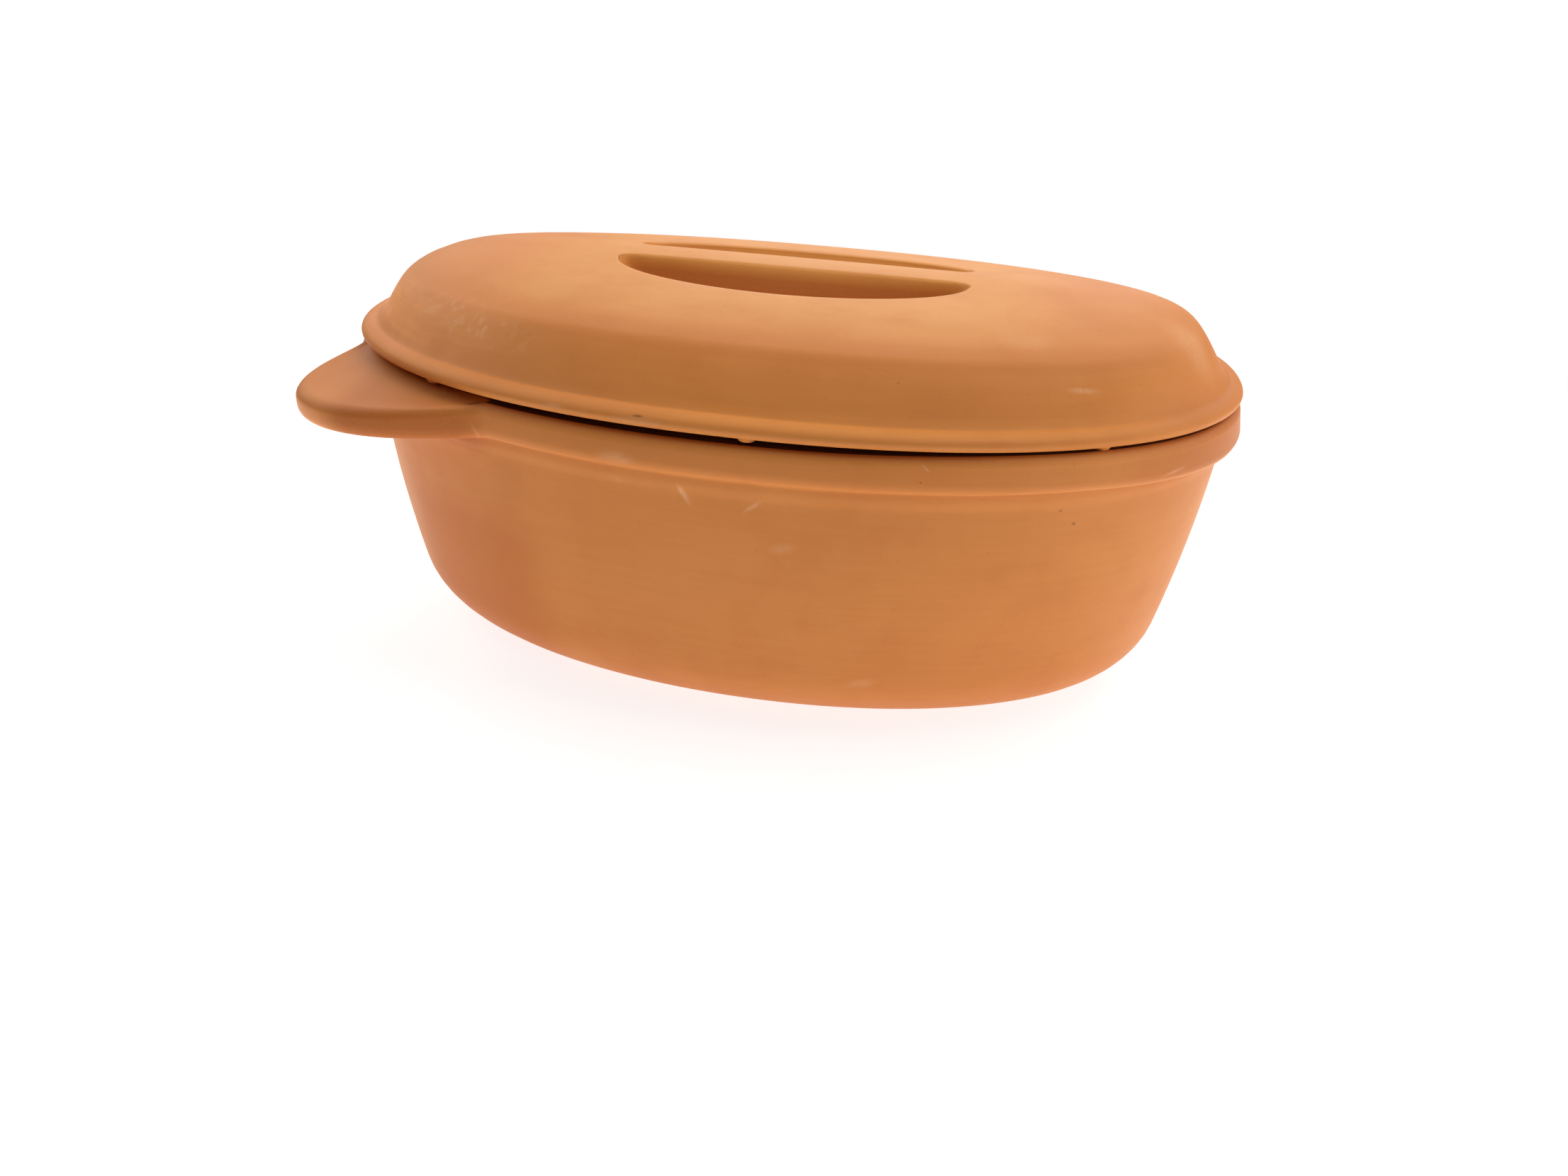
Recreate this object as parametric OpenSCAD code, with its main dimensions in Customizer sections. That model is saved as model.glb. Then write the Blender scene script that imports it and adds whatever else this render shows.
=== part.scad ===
// Oval clay roaster: a deep tapered pot with two ledge handles, and a domed lid.
// The origin is the centre of the pot's foot, on the table. +X is the long axis,
// -Y is the front and +Z is up.

/* [Pot] */
// Length over the rim band
pot_l = 382; // [340:0.2:430]
// Width over the rim band
pot_w = 272.8; // [250:0.2:310]
// Height of the rim's top
pot_h = 132; // [110:1:170]
// Squareness of the rim's oval, where 2 is an ellipse
rim_n = 2.13; // [2:0.01:2.3]
// Squareness of the wall's oval
wall_n = 2.04; // [2:0.01:2.2]
// Thickness of the wall
wall_t = 10; // [8:0.5:12]
// Thickness of the floor
floor_t = 11; // [8:0.5:14]
// How far the wall leans in at each end
end_lean = 18.9; // [10:0.1:26]
// How far the wall leans in at the front and back
side_lean = 28.9; // [18:0.1:34]
// Fullness of the wall, where 0 is straight
belly = 0.15; // [0:0.01:0.22]
// Radius between the wall and the foot
foot_r = 31; // [24:1:36]

/* [Rim band] */
// Height of the band
band_h = 13.5; // [11:0.5:20]
// How far the band stands out from the wall
band_out = 4.4; // [4:0.1:9]
// Radius under the band
band_r = 3.5; // [2.5:0.5:4]
// Radius of the band's top edge
rim_r = 2.8; // [2:0.2:3.4]
// Radius of the rim's inner edge
inner_r = 3; // [2:0.5:4]
// Height of the soft roll under the band
roll_h = 8.5; // [8:0.5:12]
// How far the roll stands out from the wall
roll_out = 0.8; // [0.4:0.1:1.2]
// Rise of the fired rim towards the right end
rim_rise = 1.2; // [0:0.1:1.6]

/* [Handles] */
// Reach of each handle beyond the band
handle_reach = 33.5; // [20:0.5:40]
// Place of the handles around the rim, in degrees from the long axis
handle_turn = 40; // [30:0.5:60]
// Stretch of rim on the side of a handle's middle nearer the pot's end, in degrees
handle_end = 19; // [14:0.5:26]
// Stretch of rim on the other side of a handle's middle, in degrees
handle_side = 22; // [14:0.5:26]
// Thickness of a handle at its tip
handle_t = 11; // [10:0.5:13]
// How far a handle's underside lies below the band
handle_drop = 3.5; // [0:0.5:3.5]
// Fillet between a handle's underside and the wall
handle_r = 4; // [2:0.5:4]
// Height of the rounding over a handle's edge
handle_top_r = 4; // [2:0.5:5]
// Width of the rounding over a handle's edge
handle_top_w = 6.5; // [3:0.5:9]

/* [Lid] */
// How far the flange's edge lies in from the band's face
lid_set = 0.6; // [0:0.1:3]
// Thickness of the flange
flange_t = 6; // [6:0.1:9]
// Radius under the flange's edge
flange_low_r = 1.4; // [0.8:0.1:1.8]
// Height of the rounding over the flange's edge
flange_top_r = 4; // [2:0.1:4]
// Width of the rounding over the flange's edge
flange_top_w = 5.5; // [3:0.1:6.5]
// Height of the dome above the flange's underside
dome_h = 37.3; // [30:0.1:50]
// Squareness of the dome's oval
dome_n = 2.3; // [2.1:0.05:2.5]
// Width of the flange outside the dome at the ends
end_step = 15.7; // [12:0.1:20]
// Width of the flange outside the dome at the front and back
side_step = 9; // [7:0.5:13]
// How far the dome flares out onto the flange at the left end
left_flare = 6; // [0:0.5:10]
// How far the dome flares out onto the flange at the right end
right_flare = 9.5; // [0:0.5:10]
// Thickness of the lid's shell
shell_t = 10; // [8:0.5:12]
// Depth of the lip that centres the lid in the pot
lip_h = 8; // [5:0.5:12]
// Thickness of the lip
lip_t = 8; // [6:0.5:10]
// Gap between the lip and the pot's wall
lip_gap = 2; // [1:0.5:4]

/* [Grip] */
// Length of each finger scoop
scoop_l = 149.6; // [120:0.2:170]
// Reach of the front scoop from the middle of the ridge
front_reach = 48; // [40:0.5:56]
// Reach of the back scoop from the middle of the ridge
back_reach = 45; // [40:0.5:56]
// Depth of a scoop
scoop_d = 15; // [10:0.5:18]
// Width of the ridge at its middle
ridge_w = 22.2; // [18:0.2:28]
// Width of the ridge between the tips of the scoops
ridge_end_w = 29.8; // [28:0.2:36]

/* [Spacers] */
// Gap between the rim and the flange at the left end
seat_gap = 2.4; // [2:0.1:4]
// Number of spacers under the flange
spacer_n = 8; // [4:1:12]
// Diameter of a spacer at the flange
spacer_d = 6.6; // [5:0.1:8]
// Diameter of a spacer's foot
spacer_foot_d = 4.8; // [4:0.1:8]
// Clear height under the two short spacers at the front left
spacer_short = 1.1; // [0:0.1:1.6]

/* [Hidden] */
CLAY = [0.80, 0.48, 0.27];
// Points around the pot's rings and the lid's, and rows of points across the grip
pot_stations = 84;
stations = 72;
scoop_rows = 8;
ridge_rows = 3;
edge_rows = 2;
// Rim and lid outlines, as half lengths and half widths
rim_a = pot_l / 2;
rim_b = pot_w / 2;
lid_a = rim_a - lid_set;
lid_b = rim_b - lid_set;
dome_a = lid_a - end_step;
dome_b = lid_b - side_step;
// Heights of the wall under its band and of the flange's underside
wall_h = pot_h - band_h;
seat_z = pot_h + seat_gap;
// Inner radius of the pot's foot, and start of the roll under the band
well_r = foot_r - wall_t;
roll_z = wall_h - roll_h;
// Strip of the rim's top outside the flat, where the handles' ramps end
ramp_strip = 2.4;
flat_in = rim_r + ramp_strip;
// Stretch of the rise along the rim, as shares of half the length
rise_from = 0.1;
rise_to = 0.6;
// Crowding of the pot's points towards the handles, in degrees
crowding = 12;
// Shape of a handle's outline, of its fall, of the ramp on its top and of its fillet
lobe_power = 1.4;
fall_power = 0.6;
ramp_power = 2.2;
fillet_power = 4;
// Shape of the dome along the pot and across it
end_rise = 5.1;
end_round = 4.5;
side_rise = 3.55;
side_round = 1.2;
// Levels of the dome's outlines, as shares of its height
DOME_LEVELS = [0.5, 0.56, 0.62, 0.68, 0.75];
CEILING_LEVELS = [0.75, 0.65, 0.55, 0.44, 0.33, 0.22, 0.1, 0];
CROWN_STEPS = [0.18, 0.36, 0.54, 0.7, 0.86];
// Place of the deepest line of a scoop, as a share of its width
scoop_bed = 0.3;
// Shape of a scoop's edges and of its depth along its length
edge_power = 3.3;
bed_power = 3;
bed_round = 0.7;
// Shares of a crown row taken at most by the ridge and the brim, and at least by a scoop
ridge_share = 0.35;
brim_share = 0.85;
scoop_share = 0.25;
// Outline around both scoops, where the crown's rows start
crown_margin = 8;
crown_a = scoop_l / 2 + crown_margin;
crown_b = max(front_reach, back_reach) + crown_margin;
// Inner face of the lip, and the rounding of its edges
lip_a = wall_a(pot_h) - wall_t - lip_gap - lip_t;
lip_b = wall_b(pot_h) - wall_t - lip_gap - lip_t;
lip_r = 2;
// Turn and spread of the spacers, in degrees, how far they lie in from the flange's edge
// and how deep they sit in the flange
spacer_turn = 2.4;
spacer_spread = 4;
spacer_in = 0.8;
spacer_root = 1;
// Stretch of the rim whose spacers are short, in degrees
short_from = -170;
short_to = -70;

function lerp(p, q, f) = p + (q - p) * f;
function clamp(v) = max(0, min(1, v));
function ease(f) = let (c = clamp(f)) c * c * (3 - 2 * c);
function signed_pow(v, e) = sign(v) * pow(abs(v), e);
function turn(i) = 360 * i / stations;
function pot_turn(i) =
    let (s = 360 * i / pot_stations) s - crowding * sin(2 * (s - handle_turn));
function at(p, z) = [p[0], p[1], z];

// Point of an oval at angle t, and the direction out of the rim there
function oval(a, b, n, t) = [a * signed_pow(cos(t), 2 / n), b * signed_pow(sin(t), 2 / n)];
function outward(t) = let (v = [cos(t) / rim_a, sin(t) / rim_b]) v / norm(v);
function rim_at(t, out) = oval(rim_a, rim_b, rim_n, t) + out * outward(t);
function lid_at(t, out) = oval(lid_a, lid_b, rim_n, t) + out * outward(t);

// Half length and half width of the wall at height z
function swell(f) = f + 4 * belly * f * (1 - f);
function wall_a(z) = rim_a - band_out - end_lean * (1 - swell(z / wall_h));
function wall_b(z) = rim_b - band_out - side_lean * (1 - swell(z / wall_h));
function wall_at(t, z, in) = at(oval(wall_a(z) - in, wall_b(z) - in, wall_n, t), z);

// Height of the rim's top, and how much of a handle there is at angle t
function rim_z(x) = pot_h + rim_rise * ease((x / rim_a - rise_from) / (rise_to - rise_from));
function rim_top(t) = rim_z(rim_at(t, 0)[0]);
function lobe(t) =
    let (d = (t - handle_turn + 450) % 180 - 90)
    let (s = d < 0 ? d / handle_end : d / handle_side)
    abs(s) < 1 ? pow(1 - s * s, lobe_power) : 0;

// Reach, underside and top of the rim's edge at angle t
function reach(t) = handle_reach * lobe(t);
function under_z(t) = wall_h - handle_drop * pow(lobe(t), fall_power);
function edge_top(t) =
    lerp(rim_top(t), wall_h - handle_drop + handle_t, pow(lobe(t), fall_power));
function edge_r(t) = lerp(rim_r, handle_top_r, lobe(t));
function edge_w(t) = lerp(rim_r, handle_top_w, lobe(t));
function root_z(t) = under_z(t) - handle_r * lobe(t);

// Rings of points, as functions of the angle t and a place f from 0 to 1
function foot_ring(t, f) =
    let (z = foot_r * (1 - cos(90 * f)))
    wall_at(t, z, foot_r * (1 - sin(90 * f)));
function roll_ring(t, f) = wall_at(t, lerp(roll_z, root_z(t), f), -roll_out * ease(2 * f));
function under_ring(t, f) =
    let (p = wall_at(t, root_z(t), -roll_out))
    let (q = rim_at(t, reach(t) - band_r))
    at(lerp([p[0], p[1]], q, f), lerp(under_z(t), root_z(t), pow(1 - f, fillet_power)));
function low_ring(t, f) =
    at(rim_at(t, reach(t) - band_r * (1 - sin(90 * f))), under_z(t) + band_r * (1 - cos(90 * f)));
function top_ring(t, f) =
    at(rim_at(t, reach(t) - edge_w(t) * (1 - cos(90 * f))),
        edge_top(t) - edge_r(t) * (1 - sin(90 * f)));
function ramp_ring(t, f) =
    at(rim_at(t, lerp(reach(t) - edge_w(t), -flat_in, f)),
        lerp(edge_top(t), rim_top(t), pow(f, ramp_power)));
function mouth_ring(t, f) =
    let (z = rim_top(t) - inner_r * (1 - cos(90 * f)))
    wall_at(t, z, wall_t - inner_r * (1 - sin(90 * f)));
function inside_ring(t, f) =
    wall_at(t, lerp(rim_top(t) - inner_r, floor_t + well_r, f), wall_t);
function well_ring(t, f) =
    let (z = floor_t + well_r * (1 - sin(90 * f)))
    wall_at(t, z, wall_t + well_r * (1 - cos(90 * f)));

function all_round(ring) = [for (i = [0:pot_stations - 1]) ring(pot_turn(i))];
POT_RINGS = concat(
    [for (k = [0:6]) all_round(function (t) foot_ring(t, k / 6))],
    [for (k = [1:5]) all_round(function (t) wall_at(t, lerp(foot_r, roll_z, k / 5), 0))],
    [for (k = [1:2]) all_round(function (t) roll_ring(t, k / 3))],
    [for (f = [0, 0.25, 0.6]) all_round(function (t) under_ring(t, f))],
    [for (k = [0:3]) all_round(function (t) low_ring(t, k / 3))],
    [for (k = [0:3]) all_round(function (t) top_ring(t, k / 3))],
    [for (k = [1:5]) all_round(function (t) ramp_ring(t, k / 5))],
    [for (k = [0:3]) all_round(function (t) mouth_ring(t, k / 3))],
    [for (k = [1:5]) all_round(function (t) inside_ring(t, k / 5))],
    [for (k = [1:4]) all_round(function (t) well_ring(t, k / 4))]
);

// Half length and half width of the dome's outline at a share u of its height
function end_share(u) = pow(1 - pow(u, end_rise), 1 / end_round);
function side_share(u) = pow(1 - pow(u, side_rise), 1 / side_round);
function dome_out(a, b, n, u, t) = oval(a * end_share(u), b * side_share(u), n, t);

// Share of the dome's height over the point x, y, found by halving
function dome_share(x, y, a, b, n, low = 0, high = 1, steps = 16) =
    let (u = (low + high) / 2)
    steps == 0 ? u :
    pow(x / (a * end_share(u)), n) + pow(y / (b * side_share(u)), n) < 1
        ? dome_share(x, y, a, b, n, u, high, steps - 1)
        : dome_share(x, y, a, b, n, low, u, steps - 1);

// Inner and outer edge of a scoop at a share s of half its length, and its depth
function scoop_inner(s) = lerp(ridge_w, ridge_end_w, pow(s, edge_power)) / 2;
function scoop_outer(s, y) =
    lerp(y < 0 ? front_reach : back_reach, ridge_end_w / 2, pow(s, edge_power));
function scoop_bowl(q) =
    q < scoop_bed ? sin(90 * q / scoop_bed) : cos(90 * (q - scoop_bed) / (1 - scoop_bed));
function scoop_depth(x, y) =
    let (s = abs(x) * 2 / scoop_l)
    s >= 1 ? 0 :
    let (q = (abs(y) - scoop_inner(s)) / (scoop_outer(s, y) - scoop_inner(s)))
    q <= 0 || q >= 1 ? 0 : scoop_d * pow(1 - pow(s, bed_power), bed_round) * scoop_bowl(q);

function crown_z(p) =
    seat_z + dome_h * dome_share(abs(p[0]), abs(p[1]), dome_a, dome_b, dome_n)
    - scoop_depth(p[0], p[1]);
function ceiling_z(p) =
    seat_z + (dome_h - shell_t) * dome_share(abs(p[0]), abs(p[1]), lip_a, lip_b, wall_n)
    - scoop_depth(p[0], p[1]);

// Rings of the lid, from the ceiling out to the flange and back up to the crown
function crown_edge(t) = [crown_a * cos(t), crown_b * sin(t)];
function crown_ring(t, f) =
    let (p = lerp(dome_out(dome_a, dome_b, dome_n, DOME_LEVELS[4], t), crown_edge(t), f))
    at(p, crown_z(p));
function ceiling_ring(t, f) =
    let (p = lerp(crown_edge(t), dome_out(lip_a, lip_b, wall_n, CEILING_LEVELS[0], t), f))
    at(p, ceiling_z(p));
function lip_ring(t, out, z) = at(oval(lip_a + out, lip_b + out, wall_n, t), z);
function flange_low(t, f) =
    at(lid_at(t, -flange_low_r * (1 - sin(90 * f))), seat_z + flange_low_r * (1 - cos(90 * f)));
function flange_top(t, f) =
    at(lid_at(t, -flange_top_w * (1 - cos(90 * f))),
        seat_z + flange_t - flange_top_r * (1 - sin(90 * f)));
function step_ring(t, f) =
    let (p = flange_top(t, 1))
    let (q = at(oval(dome_a + (cos(t) < 0 ? left_flare : right_flare), dome_b, dome_n, t),
        seat_z + flange_t))
    let (r = at(dome_out(dome_a, dome_b, dome_n, DOME_LEVELS[0], t),
        seat_z + dome_h * DOME_LEVELS[0]))
    lerp(lerp(p, q, f), lerp(q, r, f), f);

LID_RINGS = concat(
    [for (f = [0, 0.35, 0.7]) [for (i = [0:stations - 1]) ceiling_ring(turn(i), f)]],
    [for (u = CEILING_LEVELS) [for (i = [0:stations - 1])
        at(dome_out(lip_a, lip_b, wall_n, u, turn(i)), seat_z + (dome_h - shell_t) * u)]],
    [for (e = [[0, lip_r - lip_h], [lip_r, -lip_h], [lip_t - lip_r, -lip_h],
        [lip_t, lip_r - lip_h], [lip_t, 0]])
        [for (i = [0:stations - 1]) lip_ring(turn(i), e[0], seat_z + e[1])]],
    [for (k = [0:3]) [for (i = [0:stations - 1]) flange_low(turn(i), k / 3)]],
    [for (k = [0:3]) [for (i = [0:stations - 1]) flange_top(turn(i), k / 3)]],
    [for (f = [0.2, 0.4, 0.6, 0.8]) [for (i = [0:stations - 1]) step_ring(turn(i), f)]],
    [for (u = DOME_LEVELS) [for (i = [0:stations - 1])
        at(dome_out(dome_a, dome_b, dome_n, u, turn(i)), seat_z + dome_h * u)]],
    [for (f = CROWN_STEPS) [for (i = [0:stations - 1]) crown_ring(turn(i), f)]],
    [[for (i = [0:stations - 1]) crown_ring(turn(i), 1)]]
);

// Rows of the crown: y values from front to back where the crown's edge is at half width w
function row_places(x, w) =
    let (s = clamp(abs(x) * 2 / scoop_l))
    let (ridge = min(scoop_inner(s), ridge_share * w))
    let (front = max(min(scoop_outer(s, -1), brim_share * w), ridge + scoop_share * w))
    let (back = max(min(scoop_outer(s, 1), brim_share * w), ridge + scoop_share * w))
    concat(
        [for (k = [0:edge_rows - 1]) -lerp(w, front, k / edge_rows)],
        [for (k = [0:scoop_rows - 1]) -lerp(front, ridge, k / scoop_rows)],
        [for (k = [0:ridge_rows - 1]) lerp(-ridge, ridge, k / ridge_rows)],
        [for (k = [0:scoop_rows - 1]) lerp(ridge, back, k / scoop_rows)],
        [for (k = [0:edge_rows]) lerp(back, w, k / edge_rows)]
    );
rows = 2 * (edge_rows + scoop_rows) + ridge_rows;
columns = stations / 2;

// Points inside the crown's edge, column by column from right to left
function grid_points(ceiling) = [
    for (c = [1:columns - 1])
        let (p = crown_edge(turn(c)))
        let (ys = row_places(p[0], p[1]))
        for (j = [1:rows - 1])
            at([p[0], ys[j]], ceiling ? ceiling_z([p[0], ys[j]]) : crown_z([p[0], ys[j]]))
];

// Index of the point in column c and row j, with the edge's ring at ring and the rest at inner
function grid_index(c, j, ring, inner) =
    c == 0 || c == columns || j == rows ? ring + c :
    j == 0 ? ring + stations - c :
    inner + (c - 1) * (rows - 1) + j - 1;
function grid_faces(ring, inner) = [
    for (c = [0:columns - 1], j = [0:rows - 1])
        let (a = grid_index(c, j, ring, inner))
        let (b = grid_index(c, j + 1, ring, inner))
        let (e = grid_index(c + 1, j + 1, ring, inner))
        let (d = grid_index(c + 1, j, ring, inner))
        each concat(a == b ? [] : [[a, b, e]], d == e ? [] : [[a, e, d]])
];
function flipped(faces) = [for (f = faces) [f[2], f[1], f[0]]];

// Faces between each of count rings of n points and the next
function band_faces(count, n) = [
    for (r = [0:count - 2], i = [0:n - 1])
        let (a = r * n + i)
        let (b = r * n + (i + 1) % n)
        each [[a, a + n, b + n], [a, b + n, b]]
];
function joined(rings) = [for (ring = rings) each ring];

module pot() {
    count = len(POT_RINGS);
    total = count * pot_stations;
    last = total - pot_stations;
    color(CLAY)
        polyhedron(
            concat(joined(POT_RINGS), [[0, 0, 0], [0, 0, floor_t]]),
            concat(
                band_faces(count, pot_stations),
                [for (i = [0:pot_stations - 1]) [total, i, (i + 1) % pot_stations]],
                [for (i = [0:pot_stations - 1])
                    [last + i, total + 1, last + (i + 1) % pot_stations]]
            )
        );
}

module lid_shell() {
    count = len(LID_RINGS);
    total = count * stations;
    ceiling = grid_points(true);
    crown = grid_points(false);
    polyhedron(
        concat(joined(LID_RINGS), ceiling, crown),
        concat(
            band_faces(count, stations),
            grid_faces(0, total),
            flipped(grid_faces(total - stations, total + len(ceiling)))
        )
    );
}

// One foot under the flange. Those at the front left stay short of the rim.
module spacer(i) {
    angle = -(360 * i / spacer_n - spacer_turn + spacer_spread * sin(720 * i / spacer_n));
    p = lid_at(angle, -spacer_in - spacer_d / 2);
    foot = rim_z(p[0]) + (is_short(angle) ? spacer_short : 0);
    translate([p[0], p[1], foot])
        cylinder(d1 = spacer_foot_d, d2 = spacer_d, h = seat_z + spacer_root - foot, $fn = 32);
}
function is_short(angle) = angle > short_from && angle < short_to;

module lid() {
    color(CLAY)
        union() {
            lid_shell();
            for (i = [0:spacer_n - 1])
                spacer(i);
        }
}

pot();
lid();
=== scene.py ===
import logging
import math
from dataclasses import dataclass
from enum import Enum

import bmesh
import bpy
import numpy as np
from mathutils import Matrix, Vector


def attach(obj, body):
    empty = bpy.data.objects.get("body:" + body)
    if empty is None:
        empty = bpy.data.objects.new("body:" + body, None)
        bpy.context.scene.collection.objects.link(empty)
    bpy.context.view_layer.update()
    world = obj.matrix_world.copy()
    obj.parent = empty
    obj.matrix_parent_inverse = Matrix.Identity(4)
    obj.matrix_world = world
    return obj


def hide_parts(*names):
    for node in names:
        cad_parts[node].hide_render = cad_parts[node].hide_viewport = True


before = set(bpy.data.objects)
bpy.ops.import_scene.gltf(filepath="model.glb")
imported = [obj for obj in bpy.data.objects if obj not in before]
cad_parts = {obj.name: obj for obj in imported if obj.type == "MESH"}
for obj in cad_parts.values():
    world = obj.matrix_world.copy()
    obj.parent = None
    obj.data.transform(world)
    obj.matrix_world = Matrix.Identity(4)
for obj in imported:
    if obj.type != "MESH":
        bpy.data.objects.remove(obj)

LOG = logging.getLogger("clay_roaster")
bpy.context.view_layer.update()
MM = 0.001
WHITE = (1.0, 1.0, 1.0, 1.0)
TINY = 1e-6
HALVINGS = 30

Numbers = np.ndarray
Colour = tuple[float, float, float]
Place = tuple[float, float, float]
Ring = tuple[Numbers, Numbers, Numbers | float]


def lerp(low: Numbers | float, high: Numbers | float, share: Numbers | float) -> Numbers | float:
    """Value at a share of the way from low to high."""
    return low + (high - low) * share


def ease(share: Numbers | float) -> Numbers | float:
    """Smooth step from 0 to 1."""
    share = np.clip(share, 0.0, 1.0)
    return share * share * (3.0 - 2.0 * share)


def signed_power(value: Numbers, power: float) -> Numbers:
    """Power of a value's size that keeps its sign."""
    return np.sign(value) * np.abs(value) ** power


def soft_size(value: Numbers, softness: float) -> Numbers:
    """Size of a value, rounded off around zero."""
    return np.hypot(value, softness)


def soft_lower(first: Numbers, second: Numbers, softness: Numbers) -> Numbers:
    """Lower of two values, eased where they meet."""
    return 0.5 * (first + second - np.hypot(first - second, softness))


def soft_positive(value: Numbers, softness: Numbers) -> Numbers:
    """Value held above zero, eased where it meets zero."""
    return 0.5 * (value + np.hypot(value, softness))


def shares(count: int) -> Numbers:
    """Evenly spaced shares from 0 to 1."""
    return np.linspace(0.0, 1.0, count)


def close_at_ends(count: int) -> Numbers:
    """Shares from 0 to 1 that lie closest together at both ends."""
    return (1.0 - np.cos(np.linspace(0.0, math.pi, count))) / 2.0


def quarter(count: int) -> Numbers:
    """Evenly spaced angles of a quarter turn, both ends included."""
    return np.linspace(0.0, math.pi / 2.0, count)


def circle(count: int) -> Numbers:
    """Evenly spaced angles of a full turn."""
    return np.linspace(0.0, 2.0 * math.pi, count, endpoint=False)


def linear(red: int, green: int, blue: int) -> Colour:
    """Linear colour of a display colour given in steps from 0 to 255."""
    def channel(step: int) -> float:
        """Linear value of one display step."""
        share = step / 255.0
        return share / 12.92 if share <= 0.04045 else ((share + 0.055) / 1.055) ** 2.4
    return channel(red), channel(green), channel(blue)


@dataclass(frozen=True)
class Oval:
    """Superellipse outline, in millimetres."""

    a: float
    b: float
    n: float

    def at(self, t: Numbers, grow: float = 0.0) -> tuple[Numbers, Numbers]:
        """Points of the oval.

        Args:
            t: angles in radians.
            grow: millimetres added to both half axes.

        Returns:
            The x and y of each point.
        """
        return (
            (self.a + grow) * signed_power(np.cos(t), 2.0 / self.n),
            (self.b + grow) * signed_power(np.sin(t), 2.0 / self.n),
        )


class Sheet:
    """Rings and grids of points that are joined into one closed clay mesh."""

    def __init__(self) -> None:
        """Start with no points."""
        self.points: list[Numbers] = []
        self.faces: list[tuple[int, ...]] = []
        self.count = 0

    def add(self, x: Numbers, y: Numbers, z: Numbers | float) -> Numbers:
        """Add points.

        Args:
            x: x of each point in millimetres.
            y: y of each point in millimetres.
            z: z of each point in millimetres, or one height for all.

        Returns:
            The index of each point, in the same layout as x.
        """
        x, y, z = np.broadcast_arrays(x, y, z)
        index = np.arange(self.count, self.count + x.size).reshape(x.shape)
        self.points.append(np.stack([x.ravel(), y.ravel(), z.ravel()], axis=1))
        self.count += x.size
        return index

    def band(self, lower: Numbers, upper: Numbers) -> None:
        """Join two closed rings of points with quads."""
        right, above_right = np.roll(lower, -1), np.roll(upper, -1)
        self.faces.extend(zip(lower.tolist(), upper.tolist(), above_right.tolist(), right.tolist()))

    def bands(self, rings: list[Numbers]) -> None:
        """Join each ring to the next one."""
        for lower, upper in zip(rings, rings[1:]):
            self.band(lower, upper)

    def cap(self, ring: Numbers, centre: int, facing_out: bool) -> None:
        """Close a ring with triangles.

        Args:
            ring: indices of the ring's points.
            centre: index of the point in its middle.
            facing_out: whether the triangles look down.
        """
        turned = np.roll(ring, -1)
        first, second = (turned, ring) if facing_out else (ring, turned)
        self.faces.extend((a, b, centre) for a, b in zip(first.tolist(), second.tolist()))

    def grid(self, rows: Numbers, flipped: bool) -> None:
        """Fill a rectangle of points with quads, leaving out corners that coincide.

        Args:
            rows: index of each point.
            flipped: whether the faces look the other way.
        """
        for column in range(rows.shape[0] - 1):
            for row in range(rows.shape[1] - 1):
                corners = [rows[column, row], rows[column, row + 1],
                           rows[column + 1, row + 1], rows[column + 1, row]]
                kept = list(dict.fromkeys(int(corner) for corner in corners))
                if len(kept) > 2:
                    self.faces.append(tuple(kept[::-1] if flipped else kept))

    def make(self, name: str) -> bpy.types.Object:
        """Make the mesh object.

        Args:
            name: name of the piece.

        Returns:
            The new object, linked to the scene, smooth and facing outwards.
        """
        mesh = bpy.data.meshes.new(name)
        mesh.from_pydata((np.concatenate(self.points) * MM).tolist(), [], self.faces)
        mesh.validate()
        work = bmesh.new()
        work.from_mesh(mesh)
        bmesh.ops.recalc_face_normals(work, faces=work.faces)
        work.to_mesh(mesh)
        work.free()
        mesh.shade_smooth()
        piece = bpy.data.objects.new(name, mesh)
        bpy.context.scene.collection.objects.link(piece)
        return piece


@dataclass(frozen=True)
class Rim:
    """Rim band of the pot: its outline, its height and its fired rise, in millimetres."""

    outline: Oval = Oval(191.0, 136.4, 2.13)
    height: float = 132.0
    band: float = 13.5
    rise: float = 1.2
    rise_from: float = 0.1
    rise_to: float = 0.6

    def outward(self, t: Numbers) -> tuple[Numbers, Numbers]:
        """Direction out of the rim at each angle."""
        x, y = np.cos(t) / self.outline.a, np.sin(t) / self.outline.b
        size = np.hypot(x, y)
        return x / size, y / size

    def at(self, t: Numbers, out: Numbers | float) -> tuple[Numbers, Numbers]:
        """Points at a distance outside the band's face."""
        x, y = self.outline.at(t)
        u, v = self.outward(t)
        return x + out * u, y + out * v

    def top(self, x: Numbers) -> Numbers:
        """Height of the rim's top over each x."""
        share = (x / self.outline.a - self.rise_from) / (self.rise_to - self.rise_from)
        return self.height + self.rise * ease(share)


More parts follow.
